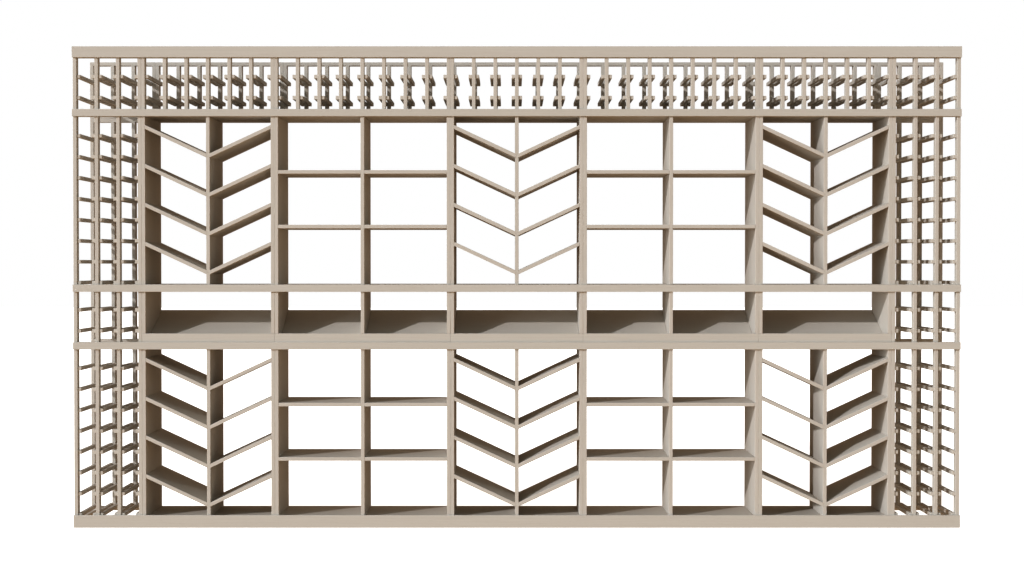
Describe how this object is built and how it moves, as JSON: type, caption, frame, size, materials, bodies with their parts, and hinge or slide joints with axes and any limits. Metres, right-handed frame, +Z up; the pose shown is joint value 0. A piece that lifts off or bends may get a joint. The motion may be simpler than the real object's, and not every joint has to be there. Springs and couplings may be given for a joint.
{
  "type": "wine rack",
  "caption": "Wall-wide wooden wine rack: stacked modules with bottle ladders, chevron bins, case shelves and tilted display trays behind flat trim boards.",
  "frame": {"origin": "on the floor under the middle of the wall's width and depth", "axes": "+X to the right along the wall, +Y from the open front to the back, +Z up"},
  "size_m": [4.4404, 0.3604, 2.4072],
  "materials": {
    "trim_wood": "light greige stained pine, satin, planed and slightly eased edges",
    "rack_wood": "light greige stained pine sticks, satin, sawn grain along each stick",
    "panel_wood": "light greige stained pine panel, satin, upright grain",
    "shelf_wood": "light greige stained pine shelf, satin, grain along the board"
  },
  "bodies": {
    "root": {"left_end_lower_rack": "rack_wood", "left_end_display_rack": "rack_wood", "left_end_upper_rack": "rack_wood", "left_end_top_rack": "rack_wood", "left_chevron_lower_carcass": "panel_wood", "left_chevron_lower_insert": "shelf_wood", "left_chevron_display_carcass": "panel_wood", "left_chevron_display_tray": "shelf_wood", "left_chevron_upper_carcass": "panel_wood", "left_chevron_upper_insert": "shelf_wood", "left_chevron_top_rack": "rack_wood", "left_case_lower_carcass": "panel_wood", "left_case_lower_divider": "panel_wood", "left_case_lower_low_shelf": "shelf_wood", "left_case_lower_high_shelf": "shelf_wood", "left_case_display_carcass": "panel_wood", "left_case_display_divider": "panel_wood", "left_case_display_left_tray": "shelf_wood", "left_case_display_right_tray": "shelf_wood", "left_case_upper_carcass": "panel_wood", "left_case_upper_divider": "panel_wood", "left_case_upper_low_shelf": "shelf_wood", "left_case_upper_high_shelf": "shelf_wood", "left_case_top_rack": "rack_wood", "centre_chevron_lower_carcass": "panel_wood", "centre_chevron_lower_insert": "shelf_wood", "centre_chevron_display_carcass": "panel_wood", "centre_chevron_display_tray": "shelf_wood", "centre_chevron_upper_carcass": "panel_wood", "centre_chevron_upper_insert": "shelf_wood", "centre_chevron_top_rack": "rack_wood", "right_case_lower_carcass": "panel_wood", "right_case_lower_divider": "panel_wood", "right_case_lower_low_shelf": "shelf_wood", "right_case_lower_high_shelf": "shelf_wood", "right_case_display_carcass": "panel_wood", "right_case_display_divider": "panel_wood", "right_case_display_left_tray": "shelf_wood", "right_case_display_right_tray": "shelf_wood", "right_case_upper_carcass": "panel_wood", "right_case_upper_divider": "panel_wood", "right_case_upper_low_shelf": "shelf_wood", "right_case_upper_high_shelf": "shelf_wood", "right_case_top_rack": "rack_wood", "right_chevron_lower_carcass": "panel_wood", "right_chevron_lower_insert": "shelf_wood", "right_chevron_display_carcass": "panel_wood", "right_chevron_display_tray": "shelf_wood", "right_chevron_upper_carcass": "panel_wood", "right_chevron_upper_insert": "shelf_wood", "right_chevron_top_rack": "rack_wood", "right_end_lower_rack": "rack_wood", "right_end_display_rack": "rack_wood", "right_end_upper_rack": "rack_wood", "right_end_top_rack": "rack_wood", "base_plinth": "trim_wood", "lower_trim": "trim_wood", "middle_trim": "trim_wood", "upper_trim": "trim_wood", "cap_trim": "trim_wood"}
  },
  "joints": []
}
